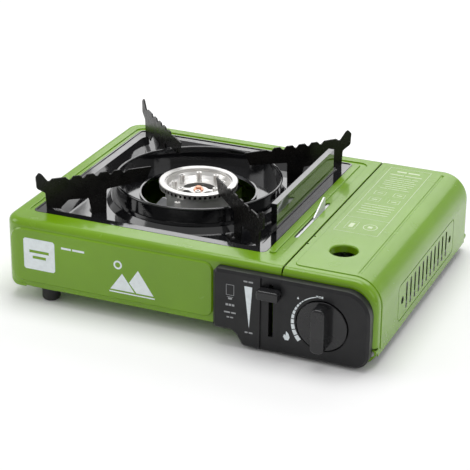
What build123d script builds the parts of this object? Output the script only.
from build123d import *
import math
import os

# A portable gas stove that burns butane from a cartridge lying under a hinged lid.
# Millimetres. +X is to the right, -Y is the front with the knob, +Z is up.
# The origin is on the table, under the middle of the object's box.

os.makedirs("parts", exist_ok=True)

# ---------------------------------------------------------------- driving dimensions
BODY_W = 345.0  # left side to the lid's right side
BODY_D = 261.0  # front sheet to back sheet
TOP_Z = 75.5  # top sheet above the table
SKIRT_Z = 14.0  # lower edge of the body's skirt
SHEET = 0.9  # pressed steel sheet
CORNER_R = 16.0  # upright corners of the body
EDGE_R = 6.0  # rounding between top sheet and skirt

BURNER_X = -46.0
BURNER_Y = 15.5
TRAY = 219.4  # drip tray, square over its flange
SEAM_X = 88.5  # middle of the gap between body and cartridge lid
SEAM_GAP = 1.2
SEAM_R = 0.8  # rounding of both edges of the gap

PANEL_T = 10.0  # control panel, ahead of the body's front sheet
GRIP_H = 13.0  # knob's grip, ahead of the panel
DISC_RISE = 1.0  # knob's disc, ahead of the panel
DISC_R = 21.8
KNOB_X = 128.2
KNOB_Z = 35.3

AXIS_X = 129.8  # axis of cartridge, inlet and regulator
AXIS_Z = 39.5

LEVER_X = 82.7
LEVER_Z = 56.3  # lever at the top of its slot: cartridge released
LEVER_TRAVEL = 34.0
SLIDER_TRAVEL = 10.0
RUN_CLEAR = 0.05  # radial clearance of a running fit

HINGE_X = 167.8
HINGE_Z = 13.5
PIN_R = 1.25

ARM_T = 1.4  # pan support plate
TOOTH_PITCH = 12.5

# ---------------------------------------------------------------- derived places
KNOB_REACH = PANEL_T + GRIP_H
X_L = -BODY_W / 2
X_R = BODY_W / 2
Y_F = -(BODY_D + KNOB_REACH) / 2 + KNOB_REACH  # outside of the front sheet
Y_B = Y_F + BODY_D  # outside of the back sheet
BODY_X1 = SEAM_X - SEAM_GAP / 2
LID_X0 = SEAM_X + SEAM_GAP / 2
BORDER_Z = TOP_Z - 1.0  # shallow border pressed round the tray
SEAT_Z = TOP_Z - 2.5  # ledge that the tray's flange rests on
BASE_Z = SKIRT_Z + 0.2  # underside of the base plate
PAN_Z = 5.1  # underside of the cartridge bay's floor
PAN_X1 = 161.5
STEP_X = 58.0  # where the deeper cartridge bay begins
PARTITION_X = 86.6
PANEL_Y = Y_F - PANEL_T  # front of the control panel
REGULATOR_Y = Y_F + 31.5
LATCH_Y = Y_F + 63  # middle of the lid's latch
BURNER_AXIS = Axis((BURNER_X, BURNER_Y, 0), (0, 0, 1))
BURNER_SECTION = Plane((BURNER_X, BURNER_Y, 0), x_dir=(1, 0, 0), z_dir=(0, -1, 0))


# ---------------------------------------------------------------- small helpers
def block(x0, x1, y0, y1, z0, z1, mode=Mode.ADD):
    """A box between two corners."""
    with Locations(((x0 + x1) / 2, (y0 + y1) / 2, (z0 + z1) / 2)):
        Box(x1 - x0, y1 - y0, z1 - z0, mode=mode)


def disc(x, y, z0, z1, r, mode=Mode.ADD):
    """An upright cylinder."""
    with Locations((x, y, (z0 + z1) / 2)):
        Cylinder(r, z1 - z0, mode=mode)


def rod_y(x, z, y0, y1, r, mode=Mode.ADD):
    """A cylinder along Y."""
    with Locations(Location((x, (y0 + y1) / 2, z), (90, 0, 0))):
        Cylinder(r, y1 - y0, mode=mode)


def rod_x(y, z, x0, x1, r, mode=Mode.ADD):
    """A cylinder along X."""
    with Locations(Location(((x0 + x1) / 2, y, z), (0, 90, 0))):
        Cylinder(r, x1 - x0, mode=mode)


def rounded(u0, u1, v0, v1, radius, mode=Mode.ADD):
    """A rectangle with rounded corners, between two corners, in the open sketch."""
    with Locations(((u0 + u1) / 2, (v0 + v1) / 2)):
        RectangleRounded(u1 - u0, v1 - v0, radius, mode=mode)


def outline(*corners, mode=Mode.ADD):
    """A closed outline through (u, v, radius) corners, in the open sketch."""
    points = [(u, v) for u, v, _ in corners]
    radii = [radius for _, _, radius in corners]
    with BuildLine() as path:
        FilletPolyline(*points, radius=radii, close=True)
    make_face(path.edges(), mode=mode)


def around_burner(size, radius):
    """A square round the burner with rounded corners, in the open sketch."""
    with Locations((BURNER_X, BURNER_Y)):
        RectangleRounded(size, size, radius)


def ring_profile(*points, mode=Mode.ADD):
    """Turns a closed (radius, height) outline round the burner's axis."""
    with BuildSketch(BURNER_SECTION) as section:
        with BuildLine():
            Polyline(*points, close=True)
        make_face()
    revolve(section.sketch, axis=BURNER_AXIS, mode=mode)


def save(part, name):
    part.label = name
    export_step(part, f"parts/{name}.step")


# ---------------------------------------------------------------- body
LEFT_R = 12.0  # lower left edge, seen from the front
LEFT_LOW = 12.7  # the left side's lower edge turns in under the base
TURN_X = -152.0


def front_view(*corners, y0, y1, mode):
    """An outline in front view, as a prism from y0 to y1."""
    with BuildSketch(Plane.XZ.offset(-y1)) as view:
        outline(*corners)
    extrude(view.sketch, amount=y1 - y0, mode=mode)


def body_form(inset):
    """The body's outer form, or its hollow when inset by the sheet."""
    x0 = X_L + inset
    x1 = BODY_X1 + inset
    corner = CORNER_R - inset
    skirt = min(SKIRT_Z, SKIRT_Z - 3 * inset)
    with BuildSketch(Plane.XY.offset(LEFT_LOW - 3)) as plan:
        outline((x0, Y_F + inset, corner), (x1, Y_F + inset, 0), (x1, Y_B - inset, 0), (x0, Y_B - inset, corner))
    extrude(plan.sketch, amount=TOP_Z - inset - (LEFT_LOW - 3))
    front_view((x0, LEFT_LOW + inset, LEFT_R - inset), (TURN_X, LEFT_LOW + inset, 0), (TURN_X, skirt, 0),
               (x1, skirt, 0), (x1, TOP_Z - inset, 0), (x0, TOP_Z - inset, 0),
               y0=Y_F - 3, y1=Y_B + 3, mode=Mode.INTERSECT)
    rim = faces().sort_by(Axis.Z)[-1].edges()
    fillet([e for e in rim if e.center().X < x1 - 1], EDGE_R - inset)


def side_region(gap, mode):
    """Where the left side panel takes over from the body's sheet, grown by gap."""
    front_view((X_L - 5, 5, 0), (TURN_X + 1, 5, 0), (TURN_X + 1, 15.3 + gap, 0), (X_L + 2.6 + gap, 15.3 + gap, 9.4),
               (X_L + 2.6 + gap, 66.1 + gap, 0), (X_L - 5, 66.1 + gap, 0),
               y0=Y_F - 3, y1=Y_B + 3, mode=mode)


PAD_X0 = -166.5  # raised panel pressed in the front sheet, round the left corner
PAD_X1 = 27.5
PAD_Z0 = 18.5
PAD_Z1 = 69.0
PAD_RISE = 1.5
PAD_BEVEL = 1.2


def pad_view(inset, mode):
    """Keeps only what lies behind the pad's front view."""
    front_view((PAD_X0 + inset, PAD_Z0 + inset, 14 - inset), (PAD_X1 - inset, PAD_Z0 + inset, 8 - inset),
               (PAD_X1 - inset, PAD_Z1 - inset, 8 - inset), (PAD_X0 + inset, PAD_Z1 - inset, 14 - inset),
               y0=Y_F - 3, y1=Y_F + 2.6, mode=mode)


with BuildPart() as body_hollow:
    body_form(SHEET)

with BuildPart() as front_pad:
    body_form(-PAD_RISE)
    pad_view(0, Mode.INTERSECT)
    chamfer(faces().sort_by(Axis.Y)[0].edges().sort_by(Axis.X)[-1], PAD_BEVEL)

with BuildPart() as pad_pocket:
    body_form(SHEET - PAD_RISE)
    pad_view(PAD_BEVEL + 0.3, Mode.INTERSECT)

PANEL_SCREWS = ((40, 32), (40, 60), (98, 62), (155, 14))  # x and z; two in the body, two in the front plate
SCREW_HOLE_R = 1.4
BORDER_X0 = -159.6
BORDER_X1 = 78.2
BORDER_Y0 = Y_F + 21.4
BORDER_Y1 = Y_B - 13.6
OPENING_R = 5.5  # corners of the tray's opening
BEAD_X0 = 66.2
BEAD_X1 = 71.8
BEAD_RISE = 1.2

with BuildPart() as body_shell:
    body_form(0)
    fillet([e for e in edges().filter_by(Axis.Y) if e.center().X > BODY_X1 - 0.1 and e.center().Z > TOP_Z - 0.1],
           SEAM_R)
    add(front_pad.part)
    add(pad_pocket.part, mode=Mode.SUBTRACT)
    add(body_hollow.part, mode=Mode.SUBTRACT)
    # metal for the border and the ledge, hanging below the top sheet
    with BuildSketch(Plane.XY.offset(BORDER_Z - SHEET)):
        rounded(BORDER_X0 - 1.4, BORDER_X1 + 1.4, BORDER_Y0 - 1.4, BORDER_Y1 + 1.4, 9.4)
    extrude(amount=TOP_Z - BORDER_Z)
    with BuildSketch(Plane.XY.offset(SEAT_Z - SHEET)):
        around_burner(TRAY + 2.6, OPENING_R + SHEET)
    extrude(amount=BORDER_Z - SEAT_Z)
    # pressed border, wide on the right, narrow on the other three sides
    with BuildSketch(Plane.XY.offset(TOP_Z + 1)):
        rounded(BORDER_X0, BORDER_X1, BORDER_Y0, BORDER_Y1, 8)
    extrude(amount=-(TOP_Z + 1 - BORDER_Z), mode=Mode.SUBTRACT)
    inner = [e for e in edges().group_by(Axis.Z)[-1] if abs(e.center().Y - (BORDER_Y0 + BORDER_Y1) / 2) < 114]
    fillet([e for e in inner if BORDER_X0 - 1 < e.center().X < BORDER_X1 + 1], 0.6)
    # stiffening bead beside the tray
    with BuildSketch(Plane.XY.offset(BORDER_Z)) as bead:
        rounded(BEAD_X0, BEAD_X1, BORDER_Y0 + 5, BORDER_Y1 - 5, 2.4)
    extrude(amount=BEAD_RISE)
    fillet([e for e in edges().group_by(Axis.Z)[-1] if BEAD_X0 - 1 < e.center().X < BEAD_X1 + 1], 0.7)
    with BuildSketch(Plane.XY.offset(TOP_Z)):
        around_burner(TRAY + 0.8, OPENING_R)
    extrude(amount=-(TOP_Z - SEAT_Z), mode=Mode.SUBTRACT)
    with BuildSketch(Plane.XY.offset(TOP_Z)):
        around_burner(TRAY - 15, 10)
    extrude(amount=-20, mode=Mode.SUBTRACT)
    # slot of the interlock fin
    with BuildSketch(Plane.XY.offset(TOP_Z)):
        rounded(73.3, 77.5, BURNER_Y - 70, BURNER_Y + 12, 2)
    extrude(amount=-10, mode=Mode.SUBTRACT)
    # lever's slot and the screw holes behind the control panel
    block(LEVER_X - 2.2, LEVER_X + 2.2, Y_F - 1, Y_F + 2, 15, 64, mode=Mode.SUBTRACT)
    for x, z in PANEL_SCREWS[:2]:
        rod_y(x, z, Y_F - 1, Y_F + 2, SCREW_HOLE_R, mode=Mode.SUBTRACT)
    side_region(0.2, Mode.SUBTRACT)

with BuildPart() as left_side_panel:
    body_form(0)
    add(body_hollow.part, mode=Mode.SUBTRACT)
    side_region(0, Mode.INTERSECT)
    # two rows of air slots
    for row_z in (34, 46):
        for k in range(9):
            y = (Y_F + Y_B) / 2 + (k - 4) * 13
            block(X_L - 1, X_L + 2, y - 4, y + 4, row_z - 1.4, row_z + 1.4, mode=Mode.SUBTRACT)

LEFT_FEET = ((-133.0, Y_F + 11.5), (-133.0, Y_B - 11.5))
RIGHT_FEET = ((142.0, Y_F + 15.5), (142.0, Y_B - 15.5))
BASE_X0 = -163.6
BASE_R = 8.0

with BuildPart() as base_plate:
    with BuildSketch(Plane.XY.offset(BASE_Z)):
        outline(
            (BASE_X0, Y_F + 1.1, BASE_R),
            (STEP_X - 0.2, Y_F + 1.1, 0),
            (STEP_X - 0.2, Y_B - 1.1, 0),
            (BASE_X0, Y_B - 1.1, BASE_R),
        )
    extrude(amount=9)
    with BuildSketch(Plane.XY.offset(BASE_Z + SHEET)):
        outline(
            (BASE_X0 + SHEET, Y_F + 2, BASE_R - SHEET),
            (STEP_X, Y_F + 2, 0),
            (STEP_X, Y_B - 2, 0),
            (BASE_X0 + SHEET, Y_B - 2, BASE_R - SHEET),
        )
    extrude(amount=10, mode=Mode.SUBTRACT)
    # pads that carry the left feet
    for x, y in LEFT_FEET:
        edge = Y_F + 2 if y < 0 else Y_B - 2
        y0, y1 = sorted((edge, y + (14 if y < 0 else -14)))
        with BuildSketch(Plane.XY.offset(BASE_Z)):
            rounded(TURN_X + 1.3, x + 14, y0, y1, 5)
        extrude(amount=-1.6)
        disc(x, y, BASE_Z - 3, BASE_Z + 3, 2.1, mode=Mode.SUBTRACT)
    # air slots below the burner
    with BuildSketch(Plane.XY.offset(BASE_Z - 1)):
        with Locations((BURNER_X, BURNER_Y)):
            with PolarLocations(44, 12):
                SlotOverall(26, 5)
    extrude(amount=3, mode=Mode.SUBTRACT)

# ---------------------------------------------------------------- cartridge bay
FRONT_PLATE_Y = Y_F + 1.3
BACK_PLATE_Y = Y_B - 1.3 - SHEET
WRAP_X = 172.0  # right edge of the lower corner, which the lid doesn't cover
WRAP_TOP = 16.5
WRAP_TOP_R = 2.6
END_X1 = 166.5
END_TOP = 70.0


def corner_wrap(inset):
    """The lower right corner of an end plate, as outline corners."""
    return (152, 3 + inset, 15 - inset), (165.5 - inset / 2, 4.6 + inset, 8 - inset), (WRAP_X - inset, 11.8, 5 - inset)


def end_plate(y, inward):
    """An end wall of the bay; inward is +1 for the front one and -1 for the back one."""
    x0 = STEP_X + 1
    with BuildSketch(Plane.XZ.offset(-y)) as wall:
        outline((x0, 3, 0), *corner_wrap(0), (WRAP_X, WRAP_TOP, WRAP_TOP_R), (END_X1, WRAP_TOP, 0),
                (END_X1, END_TOP, 18), (x0, END_TOP, 0))
    extrude(wall.sketch, amount=-SHEET)
    edge = y + SHEET if inward > 0 else y
    y0, y1 = sorted((edge, edge + inward * 3.6))
    with BuildSketch(Plane.XZ.offset(-y0)) as flange:
        outline((x0, 3, 0), *corner_wrap(0), (WRAP_X, WRAP_TOP, WRAP_TOP_R), (x0, WRAP_TOP, 0))
        outline((x0 - 1, 3 + SHEET, 0), *corner_wrap(SHEET), (WRAP_X - SHEET, WRAP_TOP + 1, 0),
                (x0 - 1, WRAP_TOP + 1, 0), mode=Mode.SUBTRACT)
    extrude(flange.sketch, amount=-(y1 - y0))


with BuildPart() as front_plate:
    end_plate(FRONT_PLATE_Y, 1)
    rod_y(KNOB_X, KNOB_Z, Y_F, Y_F + 4, 6, mode=Mode.SUBTRACT)
    block(LEVER_X - 2.2, LEVER_X + 2.2, Y_F, Y_F + 4, 15, 64, mode=Mode.SUBTRACT)
    rod_y(HINGE_X, HINGE_Z, Y_F, Y_F + 4, PIN_R, mode=Mode.SUBTRACT)
    for x, z in PANEL_SCREWS[2:]:
        rod_y(x, z, Y_F, Y_F + 4, SCREW_HOLE_R, mode=Mode.SUBTRACT)

with BuildPart() as back_plate:
    end_plate(BACK_PLATE_Y, -1)
    rod_y(HINGE_X, HINGE_Z, Y_B - 4, Y_B, PIN_R, mode=Mode.SUBTRACT)

with BuildPart() as cartridge_pan:
    left_top = BASE_Z + 2 * SHEET + 0.05
    with BuildSketch(Plane.XZ.offset(-Y_F - 2.4)):
        outline((STEP_X, left_top, 0), (STEP_X, PAN_Z, 1.5), (PAN_X1, PAN_Z, 3), (PAN_X1, PAN_Z + 5, 0))
        outline((STEP_X + SHEET, left_top + 1, 0), (STEP_X + SHEET, PAN_Z + SHEET, 0.6),
                (PAN_X1 - SHEET, PAN_Z + SHEET, 2.1), (PAN_X1 - SHEET, PAN_Z + 6, 0), mode=Mode.SUBTRACT)
    extrude(amount=-(BODY_D - 4.8))
    # flange that lies on the base plate
    block(STEP_X - 12, STEP_X + SHEET, Y_F + 14, Y_B - 14, left_top - SHEET, left_top)
    for x, y in RIGHT_FEET:
        disc(x, y, PAN_Z - 1, PAN_Z + 2, 2.1, mode=Mode.SUBTRACT)

PIPE_R = 2.4
PIPE_Y = REGULATOR_Y + 7
PIPE_Z = 46.0
ARM_Y0 = BURNER_Y + 33  # the interlock's arm to the cartridge slider
ARM_Y1 = ARM_Y0 + 6

PARTITION_TOP = TOP_Z - 5.0

with BuildPart() as partition_plate:
    block(PARTITION_X, PARTITION_X + SHEET, Y_F + 8, Y_B - 6.5, PAN_Z + SHEET, PARTITION_TOP)
    block(PARTITION_X, PARTITION_X + 7, Y_F + 8, Y_B - 6.5, PARTITION_TOP - SHEET, PARTITION_TOP)
    # passage of the gas pipe, window of the slider's arm
    rod_x(PIPE_Y, PIPE_Z, 80, 95, 4.5, mode=Mode.SUBTRACT)
    block(PARTITION_X - 1, PARTITION_X + 2, ARM_Y0 - 16, ARM_Y1 + 16, 60, 72, mode=Mode.SUBTRACT)

RAIL_Y0 = Y_F + 67.5
RAIL_Y1 = Y_B - 19.5
with BuildPart() as cartridge_rails:
    # two rolled rails that cradle the cartridge
    for x0, x1 in ((PARTITION_X + 1.1, PARTITION_X + 3.1), (153, 155)):
        block(x0, x1, RAIL_Y0, RAIL_Y1, PAN_Z + SHEET, 24)
    for x0, x1 in ((PARTITION_X + 1.1, PARTITION_X + 12), (146, 155)):
        for y in (RAIL_Y0, ARM_Y1 + 8, RAIL_Y1 - 12):
            block(x0, x1, y, y + 12, 9.4, 10.3)

with BuildPart() as lid_catch:
    # spring clip under the lid's edge
    block(PARTITION_X + 1, PARTITION_X + 1.8, LATCH_Y - 9, LATCH_Y + 9, 56, PARTITION_TOP - 1.1)
    rod_y(PARTITION_X + 2.6, 63, LATCH_Y - 7, LATCH_Y + 7, 1.6)

with BuildPart() as hinge_pins:
    rod_y(HINGE_X, HINGE_Z, Y_F + 1.3, Y_F + 9, PIN_R)
    rod_y(HINGE_X, HINGE_Z, Y_F + 0.1, Y_F + 1.3, 2.4)
    rod_y(HINGE_X, HINGE_Z, Y_B - 9, Y_B - 1.3, PIN_R)
    rod_y(HINGE_X, HINGE_Z, Y_B - 1.3, Y_B - 0.1, 2.4)

# ---------------------------------------------------------------- cartridge lid
LID_BEND_X = 147.8
LID_BEND_Z = 51.5
LID_R = TOP_Z - LID_BEND_Z
LID_RISE = 0.7  # the pressed field stands this much above the borders
LID_LOW = 9.2
LID_END_R = 6.0
HOLE_X = 123.5
HOLE_Y = Y_F + 52
HOLE_R = 11.75
VENTS = 11
VENT_PITCH = 11.4
VENT_Y = 14.0  # middle of the row
VENT_Z = 34.3
VENT_W = 4.0


def lid_profile(out, x0, low):
    """The lid's section, moved outward by out, from x0 and the lower edge low."""
    side = LID_BEND_X + LID_R + out
    outline((x0, low, 0), (side, low, 0), (side, TOP_Z + out, LID_R + out), (x0, TOP_Z + out, 0))


def round_ends(radius):
    """Rounds the upper edges of both ends of the open lid-shaped solid."""
    ends = [f for f in faces() if abs(f.normal_at().Y) > 0.9]
    fillet([e for f in ends for e in f.edges() if e.center().Z > 12 and e.center().X > LID_X0 + 1], radius)


with BuildPart() as lid_hollow:
    with BuildSketch(Plane.XZ.offset(-Y_F - SHEET)):
        lid_profile(-SHEET, LID_X0 - 5, LID_LOW - 5)
    extrude(amount=-(BODY_D - 2 * SHEET))
    round_ends(LID_END_R - SHEET)

FIELD_X0 = LID_X0 + 6  # pressed field over the top, the bend and the side
FIELD_INSET = 10.5
with BuildPart() as lid_field:
    with BuildSketch(Plane.XZ.offset(-Y_F - FIELD_INSET)):
        lid_profile(LID_RISE, FIELD_X0, LID_LOW + 5)
    extrude(amount=-(BODY_D - 2 * FIELD_INSET))
    fillet([e for e in edges().filter_by(Axis.Z) if e.center().X < FIELD_X0 + 1], 5)
    rim = [e for e in faces().sort_by(Axis.Z)[-1].edges() if e.center().X < FIELD_X0 + 0.1]
    fillet(rim, 0.6)

with BuildPart() as cartridge_lid:
    with BuildSketch(Plane.XZ.offset(-Y_F)):
        lid_profile(0, LID_X0, LID_LOW)
    extrude(amount=-BODY_D)
    round_ends(LID_END_R)
    seam_edge = [e for e in edges().filter_by(Axis.Y) if e.center().X < LID_X0 + 0.1 and e.center().Z > TOP_Z - 0.1]
    fillet(seam_edge, SEAM_R)
    add(lid_field.part)
    add(lid_hollow.part, mode=Mode.SUBTRACT)
    # end windows, leaving a narrow flange
    with BuildSketch(Plane.XZ.offset(-Y_F + 1)):
        lid_profile(-7, LID_X0 - 5, LID_LOW - 5)
    extrude(amount=-(BODY_D + 2), mode=Mode.SUBTRACT)
    # room for the lower corners of the end plates
    for y0, y1 in ((Y_F - 1, Y_F + 6), (Y_B - 6, Y_B + 1)):
        block(HINGE_X - 8, X_R + 1, y0, y1, 0, WRAP_TOP + 1.4, mode=Mode.SUBTRACT)
    # rounded groove between the flat top and the bend
    rod_y(150.5, TOP_Z + LID_RISE + 0.95, Y_F + 15, Y_B - 15, 1.8, mode=Mode.SUBTRACT)
    # finger hole with its rolled rim
    disc(HOLE_X, HOLE_Y, TOP_Z - 6, TOP_Z, HOLE_R + SHEET)
    disc(HOLE_X, HOLE_Y, TOP_Z - 8, TOP_Z + 2, HOLE_R, mode=Mode.SUBTRACT)
    circles = edges().filter_by(GeomType.CIRCLE)
    fillet([e for e in circles if abs(e.radius - HOLE_R) < 0.01 and e.center().Z > TOP_Z], 1.4)
    # air slots in the side, a round hole at each end of the row, in a thinner wall
    vent_reach = VENTS / 2 * VENT_PITCH + 11
    block(X_R - 3, X_R - 0.1, VENT_Y - vent_reach, VENT_Y + vent_reach, VENT_Z - 14.5, VENT_Z + 14.5,
          mode=Mode.SUBTRACT)
    for k in range(VENTS):
        y = VENT_Y + (k - (VENTS - 1) / 2) * VENT_PITCH
        block(165, X_R + 1, y - VENT_W / 2, y + VENT_W / 2, VENT_Z - 12, VENT_Z + 12, mode=Mode.SUBTRACT)
    for side in (-1, 1):
        y = VENT_Y + side * (VENTS + 1) / 2 * VENT_PITCH
        rod_x(y, VENT_Z, 165, X_R + 1, 3.4, mode=Mode.SUBTRACT)
    # latch tab at the seam, between two notches
    for y in (LATCH_Y - 8.5, LATCH_Y + 8.5):
        block(LID_X0 - 1, LID_X0 + 2.2, y - 1, y + 1, TOP_Z - 2, TOP_Z + 2, mode=Mode.SUBTRACT)
    # pressed line round the air slots
    with BuildSketch(Plane.YZ.offset(X_R + 0.5)):
        rounded(VENT_Y - 80, VENT_Y + 80, VENT_Z - 17, VENT_Z + 17, 6)
        rounded(VENT_Y - 79, VENT_Y + 79, VENT_Z - 16, VENT_Z + 16, 5.5, mode=Mode.SUBTRACT)
    extrude(amount=-1, mode=Mode.SUBTRACT)
    # hinge ears
    for y in (Y_F + 6.2, Y_B - 7.4):
        rod_y(HINGE_X, HINGE_Z, y, y + 1.2, 3.8)
        block(HINGE_X - 2, LID_BEND_X + LID_R - 0.2, y, y + 1.2, HINGE_Z, HINGE_Z + 7)
        rod_y(HINGE_X, HINGE_Z, y - 1, y + 3, PIN_R + RUN_CLEAR, mode=Mode.SUBTRACT)

# ---------------------------------------------------------------- drip tray and pan support
FLANGE_Z = SEAT_Z + 0.05
FLOOR_Z = 63.5
PLATEAU_Z = 67.4
TRAY_HOLE_R = 52.0
TRAY_R = 5.1  # corners of the tray's flange
TRAY_LIP = 0.7  # raised outer lip of the flange


def dish(shrink, low):
    """A square funnel from the flange down to the tray's floor."""
    with BuildSketch(Plane.XY.offset(low)) as floor:
        around_burner(184 - 2 * shrink, 10)
    with BuildSketch(Plane.XY.offset(FLANGE_Z + SHEET)) as mouth:
        around_burner(203 - 2 * shrink, 12)
    loft([floor.sketch, mouth.sketch])


with BuildPart() as dish_hollow:
    dish(SHEET, FLOOR_Z)
with BuildPart() as drip_tray:
    with BuildSketch(Plane.XY.offset(FLANGE_Z)):
        around_burner(TRAY, TRAY_R)
    extrude(amount=SHEET + TRAY_LIP)
    with BuildSketch(Plane.XY.offset(FLANGE_Z + SHEET)):
        around_burner(TRAY - 2.4, TRAY_R - 1.2)
    extrude(amount=5, mode=Mode.SUBTRACT)
    dish(0, FLOOR_Z - SHEET)
    add(dish_hollow.part, mode=Mode.SUBTRACT)
    # round plateau round the burner
    ring_profile((0, FLOOR_Z - SHEET), (84, FLOOR_Z - SHEET), (79, PLATEAU_Z + SHEET), (0, PLATEAU_Z + SHEET))
    ring_profile((0, FLOOR_Z - 2), (83.4, FLOOR_Z - 2), (83.4, FLOOR_Z - SHEET), (78.2, PLATEAU_Z), (0, PLATEAU_Z),
                 mode=Mode.SUBTRACT)
    # hole with a turned-up rim
    disc(BURNER_X, BURNER_Y, PLATEAU_Z, PLATEAU_Z + 3, TRAY_HOLE_R + 1.6)
    disc(BURNER_X, BURNER_Y, PLATEAU_Z - 5, PLATEAU_Z + 5, TRAY_HOLE_R, mode=Mode.SUBTRACT)

RING_R = 75.2
RING_TOP = 84.7
with BuildPart() as wind_ring:
    low = PLATEAU_Z + SHEET + 0.02
    ring_profile((RING_R - SHEET, low), (78.5, low), (78.5, low + SHEET), (RING_R, low + SHEET + 0.8),
                 (RING_R, RING_TOP - 2.4), (RING_R - SHEET, RING_TOP - 2.4))
    with BuildSketch(BURNER_SECTION):
        with Locations((RING_R - 0.1, RING_TOP - 1.25)):
            Circle(1.25)
    revolve(axis=BURNER_AXIS)

ARM_TOP = 101.6
ARM_CREST = ARM_TOP - 2.9  # bottom of a notch
NOTCH_R = 70.9  # first notch, from the burner's axis
TRAY_TOP = FLANGE_Z + SHEET
FLOOR_TOP = FLOOR_Z + 0.05


def arm_corners():
    """The arm's outline as (distance from the burner's axis, height, radius), inner end first."""
    corners = [(44.6, ARM_TOP - 1, 0.8), (66.5, ARM_TOP - 1, 0.8)]
    for k in range(4):
        notch = NOTCH_R + k * TOOTH_PITCH
        corners += [
            (notch - 0.8, ARM_CREST, 0.5),
            (notch + 0.8, ARM_CREST, 0.5),
            (notch + 3.3, ARM_TOP - 0.1, 0.7),
            (notch + 9.2, ARM_TOP - 0.1, 0.7),
        ]
    last = NOTCH_R + 4 * TOOTH_PITCH
    corners += [
        (last - 0.8, ARM_CREST, 0.5),
        (last + 0.8, ARM_CREST, 0.5),
        (124.6, ARM_TOP, 1),
        (136.8, ARM_TOP + 0.3, 2),
        (140.3, ARM_TOP - 2.4, 2),
        (146.0, 107.2, 2.4),
        (148.6, 109.2, 1.4),
        (151.8, 105.4, 2.2),
        (151.2, 94.6, 3),
        (143.5, 89.6, 3),
        (142.6, TRAY_TOP + 0.05, 0),
        (134.8, TRAY_TOP + 0.05, 0),
        (129.6, 72.2, 0),
        (129.4, 74.0, 0),
        (122.6, 80.1, 4),
        (104.0, 78.8, 1.5),
        (101.5, FLOOR_TOP, 0),
        (87.9, FLOOR_TOP, 0),
        (87.4, 85.2, 2),
        (50.0, 88.0, 1),
    ]
    return corners


ARM_ANGLES = {"arm_back_right": 45, "arm_back_left": 135, "arm_front_left": 225, "arm_front_right": 315}
arms = {}
for arm_name, angle in ARM_ANGLES.items():
    a = math.radians(angle)
    along = (math.cos(a), math.sin(a), 0)
    across = (math.sin(a), -math.cos(a), 0)
    arm_plane = Plane((BURNER_X, BURNER_Y, 0), x_dir=along, z_dir=across)
    with BuildPart() as arm:
        with BuildSketch(arm_plane.offset(-ARM_T / 2)):
            outline(*arm_corners())
        extrude(amount=ARM_T)
        # welding tab on the tray's floor
        with BuildSketch(arm_plane.offset(-ARM_T / 2)):
            outline((88.4, FLOOR_TOP, 0), (101, FLOOR_TOP, 0), (101, FLOOR_TOP + 1.2, 0), (88.4, FLOOR_TOP + 1.2, 0))
        extrude(amount=9)
    arms[arm_name] = arm

SHIELD_X0 = 53.0
SHIELD_X1 = 58.2
SHIELD_Y0 = BURNER_Y - 70.0
SHIELD_Y1 = BURNER_Y + 70.0
SHIELD_TOP = 102.0
with BuildPart() as heat_shield:
    block(SHIELD_X1 - 1, SHIELD_X1, SHIELD_Y0, SHIELD_Y1, TRAY_TOP + 0.05, SHIELD_TOP)
    block(SHIELD_X0, SHIELD_X1, SHIELD_Y0, SHIELD_Y1, SHIELD_TOP - 1, SHIELD_TOP)
    for y in (SHIELD_Y0, SHIELD_Y1 - 1):
        with BuildSketch(Plane.XZ.offset(-y)):
            outline((SHIELD_X0, 73.2, 0), (54.1, TRAY_TOP + 0.05, 0), (SHIELD_X1, TRAY_TOP + 0.05, 0),
                    (SHIELD_X1, SHIELD_TOP, 0), (SHIELD_X0, SHIELD_TOP, 0))
        extrude(amount=-1)

with BuildPart() as arm_rivets:
    for angle in ARM_ANGLES.values():
        a = math.radians(angle)
        for s in (91.5, 98.0):
            x = BURNER_X + s * math.cos(a) + 5 * math.sin(a)
            y = BURNER_Y + s * math.sin(a) - 5 * math.cos(a)
            with Locations((x, y, FLOOR_TOP + 1.2)):
                Sphere(1.6, arc_size1=0, align=(Align.CENTER, Align.CENTER, Align.MIN))

# ---------------------------------------------------------------- burner
BURNER_TOP = 80.6
TUBE_Z = 48.0
IGNITER_X = BURNER_X - 3.0
IGNITER_Y = BURNER_Y - 39.0
with BuildPart() as burner_body:
    # cast cup with a wide rim, on a narrow neck
    ring_profile((0, 41), (16.5, 41), (16.5, 56), (30, 58.5), (30, 73.5), (34.6, 75), (34.6, 79.1),
                 (31.2, 79.1), (31.2, 76), (28.6, 73.5), (28.6, 60.5), (12, 58), (12, 43), (0, 43))
    with BuildSketch(Plane.XY.offset(76.3)):
        with Locations((BURNER_X, BURNER_Y)):
            with PolarLocations(33.5, 48):
                Rectangle(5.4, 2.2)
    extrude(amount=2.0, mode=Mode.SUBTRACT)
    rod_x(BURNER_Y, TUBE_Z, BURNER_X, BURNER_X + 20, 4, mode=Mode.SUBTRACT)

with BuildPart() as burner_top_ring:
    ring_profile((30.3, 79.15), (35.8, 79.15), (35.8, 80.0), (35.2, 80.5), (33, BURNER_TOP), (30.9, BURNER_TOP),
                 (30.3, 80.0))

with BuildPart() as burner_bowl:
    # pressed steel dish; its floor has two kidney-shaped openings
    ring_profile((0, 70.6), (25.2, 70.6), (28.4, 73.4), (30, 77), (30, 79.1), (29.3, 79.1), (29.3, 77.2), (27.8, 74),
                 (25, 71.3), (0, 71.3))
    disc(BURNER_X, BURNER_Y, 70, 72, 2.05, mode=Mode.SUBTRACT)
    for turn in (0, 180):
        with BuildSketch(Plane.XY.offset(70)):
            with Locations(Location((BURNER_X, BURNER_Y, 0), (0, 0, 25 + turn))):
                SlotArc(CenterArc((0, 0), 12.5, 20, 120), 8)
        extrude(amount=3, mode=Mode.SUBTRACT)

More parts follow.
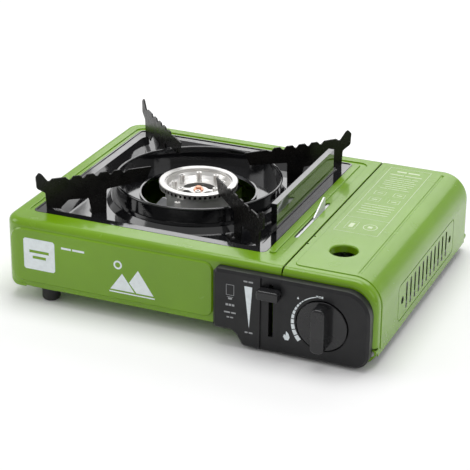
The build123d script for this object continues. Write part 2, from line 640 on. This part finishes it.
with BuildPart() as flame_tubes:
    with Locations((BURNER_X, BURNER_Y, 75.4)):
        with PolarLocations(22, 8, start_angle=22.5):
            Cylinder(2.4, 8.1)
            Cylinder(1.1, 10, mode=Mode.SUBTRACT)

with BuildPart() as burner_screw:
    disc(BURNER_X, BURNER_Y, 71.35, 72.4, 4.6)
    disc(BURNER_X, BURNER_Y, 72.4, 74.4, 2.6)
    disc(BURNER_X, BURNER_Y, 62, 71.35, 2.0)

with BuildPart() as burner_bracket:
    # bridge that carries the burner above the base plate
    block(BURNER_X - 18, BURNER_X + 18, BURNER_Y - 60, BURNER_Y + 60, 54.4, 55.6)
    disc(BURNER_X, BURNER_Y, 50, 60, 16.6, mode=Mode.SUBTRACT)
    for side in (-1, 1):
        y0, y1 = sorted((BURNER_Y + side * 60, BURNER_Y + side * 58.8))
        block(BURNER_X - 18, BURNER_X + 18, y0, y1, BASE_Z + SHEET, 54.4)
        y0, y1 = sorted((BURNER_Y + side * 60, BURNER_Y + side * 72))
        block(BURNER_X - 18, BURNER_X + 18, y0, y1, BASE_Z + SHEET, BASE_Z + SHEET + 1.2)
    disc(IGNITER_X, IGNITER_Y, 50, 60, 3.0, mode=Mode.SUBTRACT)

with BuildPart() as mixing_tube:
    # venturi from the gas nozzle to the burner's neck
    with BuildSketch(Plane.XZ.offset(-BURNER_Y)):
        with BuildLine():
            Polyline((-29.2, TUBE_Z), (-29.2, TUBE_Z + 5.9), (-4, TUBE_Z + 4.5), (22, TUBE_Z + 8), (30, TUBE_Z + 8),
                     (30, TUBE_Z), close=True)
        make_face()
    revolve(axis=Axis((0, BURNER_Y, TUBE_Z), (1, 0, 0)))
    rod_x(BURNER_Y, TUBE_Z, -40, 20, 3.5, mode=Mode.SUBTRACT)
    rod_x(BURNER_Y, TUBE_Z, 18, 40, 6.8, mode=Mode.SUBTRACT)
    block(21, 27, BURNER_Y - 12, BURNER_Y + 12, TUBE_Z - 3, TUBE_Z + 3, mode=Mode.SUBTRACT)

with BuildPart() as air_shutter:
    rod_x(BURNER_Y, TUBE_Z, 18.6, 29, 9.1)
    rod_x(BURNER_Y, TUBE_Z, 16, 32, 8.1, mode=Mode.SUBTRACT)
    block(22, 26, BURNER_Y - 12, BURNER_Y + 12, TUBE_Z - 3, TUBE_Z + 3, mode=Mode.SUBTRACT)

with BuildPart() as gas_nozzle:
    rod_x(BURNER_Y, TUBE_Z, 22, 30.2, 2.4)
    rod_x(BURNER_Y, TUBE_Z, 30.2, 38, 6.6)
    rod_x(BURNER_Y, TUBE_Z, 20, 45, 0.4, mode=Mode.SUBTRACT)

with BuildPart() as gas_pipe:
    with BuildLine() as pipe_path:
        FilletPolyline((38.1, BURNER_Y, TUBE_Z), (66, BURNER_Y, TUBE_Z), (66, PIPE_Y, PIPE_Z), (103.9, PIPE_Y, PIPE_Z),
                       radius=12)
    with BuildSketch(Plane(pipe_path.line @ 0, z_dir=pipe_path.line % 0)):
        Circle(PIPE_R)
        Circle(PIPE_R - 0.8, mode=Mode.SUBTRACT)
    sweep(path=pipe_path.line)

with BuildPart() as igniter_ceramic:
    disc(IGNITER_X, IGNITER_Y, 46, 73.5, 2.6)
    disc(IGNITER_X, IGNITER_Y, 58, 62, 3.8)
    disc(IGNITER_X, IGNITER_Y, 40, 80, 0.7, mode=Mode.SUBTRACT)

with BuildPart() as igniter_electrode:
    disc(IGNITER_X, IGNITER_Y, 42, 77.4, 0.65)
    with BuildSketch(Plane.XZ.offset(-IGNITER_Y)):
        with Locations((IGNITER_X, 77.4)):
            Circle(0.65)
    extrude(amount=-3)

with BuildPart() as igniter_bracket:
    # aluminium strip that holds the electrode beside the burner
    with BuildSketch(Plane.XZ.offset(-IGNITER_Y - 4)):
        outline((-74, 56.8, 0), (-62, 56.8, 0), (-62, 73.5, 0.8), (-66, 73.5, 0.8), (-74, 64, 0.8))
    extrude(amount=-1)
    block(-74, IGNITER_X + 6, IGNITER_Y - 6, IGNITER_Y + 5, 56.8, 57.8)
    disc(IGNITER_X, IGNITER_Y, 50, 60, 2.7, mode=Mode.SUBTRACT)

# ---------------------------------------------------------------- gas train
with BuildPart() as regulator_body:
    rod_y(AXIS_X, AXIS_Z, REGULATOR_Y - 14, REGULATOR_Y + 14, 20)
    block(AXIS_X - 24, AXIS_X + 24, REGULATOR_Y - 10, REGULATOR_Y + 8, 20, 27)
    disc(AXIS_X, REGULATOR_Y, 50, 62, 13.8)
    rod_x(PIPE_Y, PIPE_Z, 104, 112, 5.5)
    rod_x(PIPE_Y, PIPE_Z, 100, 109, 2.0, mode=Mode.SUBTRACT)
    for x0, x1 in ((AXIS_X - 24, AXIS_X - 22), (AXIS_X + 22, AXIS_X + 24)):
        block(x0, x1, REGULATOR_Y - 10, REGULATOR_Y + 8, PAN_Z + SHEET, 27)
    rod_y(AXIS_X, AXIS_Z, REGULATOR_Y - 10, REGULATOR_Y + 15, 3.2, mode=Mode.SUBTRACT)

with BuildPart() as regulator_cap:
    disc(AXIS_X, REGULATOR_Y, 62.05, 64, 15.5)
    disc(AXIS_X, REGULATOR_Y, 64, 68, 9)

with BuildPart() as regulator_screws:
    with Locations((AXIS_X, REGULATOR_Y, 64.7)):
        with PolarLocations(12.5, 4, start_angle=45):
            Cylinder(1.8, 1.3)

INLET_Y = REGULATOR_Y + 14.05
with BuildPart() as inlet_socket:
    rod_y(AXIS_X, AXIS_Z, INLET_Y, INLET_Y + 9, 15)
    rod_y(AXIS_X, AXIS_Z, INLET_Y + 2, INLET_Y + 10, 13, mode=Mode.SUBTRACT)
    rod_y(AXIS_X, AXIS_Z, INLET_Y - 1, INLET_Y + 10, 3.2, mode=Mode.SUBTRACT)
    block(AXIS_X - 2.5, AXIS_X + 2.5, INLET_Y, INLET_Y + 12, AXIS_Z + 13.5, AXIS_Z + 18)

with BuildPart() as inlet_seal:
    rod_y(AXIS_X, AXIS_Z, INLET_Y + 2.05, INLET_Y + 5.5, 5.5)
    rod_y(AXIS_X, AXIS_Z, INLET_Y + 1, INLET_Y + 10, 2.2, mode=Mode.SUBTRACT)

VALVE_Y0 = REGULATOR_Y - 28
VALVE_Y1 = REGULATOR_Y - 14.05
with BuildPart() as valve_body:
    rod_y(KNOB_X, KNOB_Z, VALVE_Y0 + 1, VALVE_Y1, 11)
    block(KNOB_X - 15, KNOB_X + 15, VALVE_Y0, VALVE_Y0 + 2.5, KNOB_Z - 8, KNOB_Z + 8)
    rod_y(KNOB_X, KNOB_Z, VALVE_Y0 - 1, VALVE_Y0 + 12, 3 + RUN_CLEAR, mode=Mode.SUBTRACT)

with BuildPart() as piezo_unit:
    block(KNOB_X - 31, KNOB_X - 17, VALVE_Y0 + 2, VALVE_Y1 - 1, 26, 52)
    rod_y(KNOB_X - 24, 56, VALVE_Y0 + 4, VALVE_Y1 - 3, 3)

with BuildPart() as heat_conductor:
    # strip that warms the cartridge from the burner
    block(-10, PARTITION_X - 0.2, ARM_Y0, ARM_Y0 + 14, 30, 31.2)
    block(-11.2, -10, ARM_Y0, ARM_Y0 + 14, BASE_Z + SHEET, 31.2)

# ---------------------------------------------------------------- control panel, knob and lever
PANEL_X0 = 31.0
PANEL_X1 = 168.6
PANEL_Z1 = 69.0
PANEL_WALL = 3.0
COLUMN_X0 = 73.6  # sunk column behind the lever
COLUMN_X1 = 92.0
COLUMN_DEPTH = 1.6
RECESS_R = 23.0  # round recess that holds the knob's disc
RECESS_DEPTH = 4.0


def panel_outline(inset):
    """The control panel's front view; its left part ends higher than the rest."""
    outline(
        (PANEL_X0 + inset, PANEL_Z1 - inset, 4 - inset / 2),
        (PANEL_X0 + inset, 14.6 + inset, 3 - inset / 2),
        (50.5 + inset / 2, 14.6 + inset, 9 - inset),
        (57.5 + inset, 2 + inset, 4 - inset / 2),
        (PANEL_X1 - inset, 2 + inset, 13 - inset),
        (PANEL_X1 - inset, PANEL_Z1 - inset, 22 - inset),
    )


with BuildPart() as control_panel:
    with BuildSketch(Plane.XZ.offset(-Y_F + 0.1)):
        panel_outline(0)
    extrude(amount=PANEL_T - 0.1)
    front_rim = faces().sort_by(Axis.Y)[0].edges()
    chamfer(front_rim, 2.2)
    with BuildSketch(Plane.XZ.offset(-Y_F + 0.1)):
        panel_outline(PANEL_WALL)
    extrude(amount=PANEL_T - 0.1 - PANEL_WALL, mode=Mode.SUBTRACT)
    for x, z in PANEL_SCREWS:
        rod_y(x, z, PANEL_Y + 1, Y_F - 0.1, 3.6)
        rod_y(x, z, PANEL_Y + 3, Y_F, 1.2, mode=Mode.SUBTRACT)
    # sunk column with the lever's slot between two walls
    block(COLUMN_X0, COLUMN_X1, PANEL_Y - 1, PANEL_Y + COLUMN_DEPTH, 0, PANEL_Z1 + 1, mode=Mode.SUBTRACT)
    block(LEVER_X - 3.5, LEVER_X + 3.5, PANEL_Y + COLUMN_DEPTH, Y_F - 0.1, 13, 66)
    block(LEVER_X - 2, LEVER_X + 2, PANEL_Y - 1, Y_F, 15.5, 63, mode=Mode.SUBTRACT)
    # round recess, with its back wall and the spindle's hole
    rod_y(KNOB_X, KNOB_Z, PANEL_Y + 1, PANEL_Y + RECESS_DEPTH + 2, RECESS_R + 2)
    rod_y(KNOB_X, KNOB_Z, PANEL_Y - 1, PANEL_Y + RECESS_DEPTH, RECESS_R, mode=Mode.SUBTRACT)
    rod_y(KNOB_X, KNOB_Z, PANEL_Y - 1, Y_F, 4.5, mode=Mode.SUBTRACT)

GRIP_W = 12.2
GRIP_L = 39.6
with BuildPart() as knob:
    rod_y(KNOB_X, KNOB_Z, PANEL_Y - DISC_RISE, PANEL_Y + RECESS_DEPTH - 0.4, DISC_R)
    fillet(faces().sort_by(Axis.Y)[0].edges(), 0.6)
    with BuildSketch(Plane.XZ.offset(-PANEL_Y)):
        rounded(KNOB_X - GRIP_W / 2, KNOB_X + GRIP_W / 2, KNOB_Z - GRIP_L / 2, KNOB_Z + GRIP_L / 2, 4.5)
    extrude(amount=GRIP_H)
    fillet(faces().sort_by(Axis.Y)[0].edges(), 2)
    rod_y(KNOB_X, KNOB_Z, PANEL_Y - 9.1, PANEL_Y + 5, 4.02, mode=Mode.SUBTRACT)

with BuildPart() as knob_insert:
    rod_y(KNOB_X, KNOB_Z, PANEL_Y - 9, PANEL_Y + 5, 4)
    rod_y(KNOB_X, KNOB_Z, PANEL_Y - 7, PANEL_Y + 6, 3.0, mode=Mode.SUBTRACT)

with BuildPart() as valve_spindle:
    rod_y(KNOB_X, KNOB_Z, PANEL_Y - 7, VALVE_Y0 + 11, 3)

LEVER_Y = PANEL_Y - 9.0
with BuildPart() as lever_handle:
    block(LEVER_X - 9.7, LEVER_X + 9.7, LEVER_Y, PANEL_Y - 0.3, LEVER_Z - 4.3, LEVER_Z + 4.3)
    fillet(edges().filter_by(Axis.Y), 2.2)
    fillet(faces().sort_by(Axis.Y)[0].edges(), 1.6)
    block(LEVER_X - 1.3, LEVER_X + 1.3, PANEL_Y - 0.3, Y_F + 5, LEVER_Z - 3.2, LEVER_Z + 3.2)

CAM_Y = Y_F + 19.5  # pin's rest place along Y
CAM_X0 = 78.0
with BuildPart() as lever_carriage:
    block(LEVER_X - 2.2, LEVER_X + 3, Y_F + 5, CAM_Y + 3, LEVER_Z - 4, LEVER_Z + 4)
    rod_x(CAM_Y, LEVER_Z, CAM_X0 - 1.5, LEVER_X, 2)

with BuildPart() as cartridge_slider:
    # strip beside the cartridge, with a hook behind the cartridge's base
    block(91, 104, RAIL_Y0 + 4, Y_B - 6.1, 6.4, 7.6)
    block(91, 104, Y_B - 7.3, Y_B - 6.1, 6.4, 58)
    block(91, 150, Y_B - 7.3, Y_B - 6.1, 8.5, 58)

with BuildPart() as interlock_link:
    # cam plate behind the lever, strip under the top sheet, fin, and arm to the slider
    block(CAM_X0, CAM_X0 + 1.2, CAM_Y - 5.5, CAM_Y + 15, 17, 72.8)
    block(74, CAM_X0 + 1.2, CAM_Y - 5.5, ARM_Y1, 71.6, 72.8)
    cam_angle = math.degrees(math.atan2(SLIDER_TRAVEL, LEVER_TRAVEL))
    slot_length = math.hypot(SLIDER_TRAVEL, LEVER_TRAVEL) + 5.2
    slot_middle = (CAM_X0 + 0.6, CAM_Y + SLIDER_TRAVEL / 2, LEVER_Z - LEVER_TRAVEL / 2)
    with Locations(Location(slot_middle, (cam_angle, 0, 0))):
        Box(4, 4.6, slot_length, mode=Mode.SUBTRACT)
    with BuildSketch(Plane.YZ.offset(74.9)):
        outline((BURNER_Y - 26, 71.7, 0), (BURNER_Y + 1, 71.7, 0), (BURNER_Y + 0.5, 84.4, 0.6),
                (BURNER_Y - 2, 85.4, 0.6), (BURNER_Y - 26, 75.0, 0.5))
    extrude(amount=1.2)
    block(74, 93, ARM_Y0, ARM_Y1, 68, 69.2)
    block(74, 76, ARM_Y0, ARM_Y1, 68, 71.6)
    block(91.8, 93, ARM_Y0, ARM_Y1, 7.65, 69.2)

# ---------------------------------------------------------------- feet and fasteners
FOOT_R = 8.0


def foot(x, y, top):
    """A rubber foot with a rounded lower edge and a screw hole from above."""
    disc(x, y, 0, top, FOOT_R)
    fillet(faces().sort_by(Axis.Z)[0].edges(), min(3, top - 1))
    disc(x, y, 1.5, top + 1, 2, mode=Mode.SUBTRACT)


FEET = {
    "foot_front_left": (*LEFT_FEET[0], BASE_Z - 1.65),
    "foot_back_left": (*LEFT_FEET[1], BASE_Z - 1.65),
    "foot_front_right": (*RIGHT_FEET[0], PAN_Z - 0.05),
    "foot_back_right": (*RIGHT_FEET[1], PAN_Z - 0.05),
}
feet = {}
for foot_name, (x, y, top) in FEET.items():
    with BuildPart() as rubber_foot:
        foot(x, y, top)
    feet[foot_name] = rubber_foot

with BuildPart() as foot_screws:
    for x, y, top in FEET.values():
        seat = BASE_Z + SHEET if x < 0 else PAN_Z + SHEET
        disc(x, y, seat + 0.05, seat + 1.6, 3.4)
        disc(x, y, 1.6, seat + 0.05, 1.9)

BASE_SCREWS = (
    (-147, BURNER_Y),
    (-80, Y_F + 15),
    (-80, Y_B - 15),
    (0, Y_F + 15),
    (0, Y_B - 15),
    (42, BURNER_Y - 79),
    (42, BURNER_Y + 71),
)
with BuildPart() as base_screws:
    for x, y in BASE_SCREWS:
        disc(x, y, BASE_Z - 1.3, BASE_Z - 0.02, 3.2)

with BuildPart() as panel_screws:
    for x, z in PANEL_SCREWS:
        seat = Y_F + SHEET if x < STEP_X else FRONT_PLATE_Y + SHEET
        rod_y(x, z, seat + 0.05, seat + 1.6, 2.8)
        rod_y(x, z, PANEL_Y + 4, seat + 0.05, 1.2)

# ---------------------------------------------------------------- output
nodes = {
    "body_shell": body_shell,
    "left_side_panel": left_side_panel,
    "base_plate": base_plate,
    "front_plate": front_plate,
    "back_plate": back_plate,
    "cartridge_pan": cartridge_pan,
    "partition_plate": partition_plate,
    "cartridge_rails": cartridge_rails,
    "lid_catch": lid_catch,
    "hinge_pins": hinge_pins,
    "cartridge_lid": cartridge_lid,
    "drip_tray": drip_tray,
    "wind_ring": wind_ring,
    **arms,
    "heat_shield": heat_shield,
    "arm_rivets": arm_rivets,
    "burner_body": burner_body,
    "burner_top_ring": burner_top_ring,
    "burner_bowl": burner_bowl,
    "flame_tubes": flame_tubes,
    "burner_screw": burner_screw,
    "burner_bracket": burner_bracket,
    "mixing_tube": mixing_tube,
    "air_shutter": air_shutter,
    "gas_nozzle": gas_nozzle,
    "gas_pipe": gas_pipe,
    "igniter_ceramic": igniter_ceramic,
    "igniter_electrode": igniter_electrode,
    "igniter_bracket": igniter_bracket,
    "regulator_body": regulator_body,
    "regulator_cap": regulator_cap,
    "regulator_screws": regulator_screws,
    "inlet_socket": inlet_socket,
    "inlet_seal": inlet_seal,
    "valve_body": valve_body,
    "piezo_unit": piezo_unit,
    "heat_conductor": heat_conductor,
    "control_panel": control_panel,
    "panel_screws": panel_screws,
    "knob": knob,
    "knob_insert": knob_insert,
    "valve_spindle": valve_spindle,
    "lever_handle": lever_handle,
    "lever_carriage": lever_carriage,
    "cartridge_slider": cartridge_slider,
    "interlock_link": interlock_link,
    **feet,
    "foot_screws": foot_screws,
    "base_screws": base_screws,
}
for node_name, node in nodes.items():
    save(node.part, node_name)
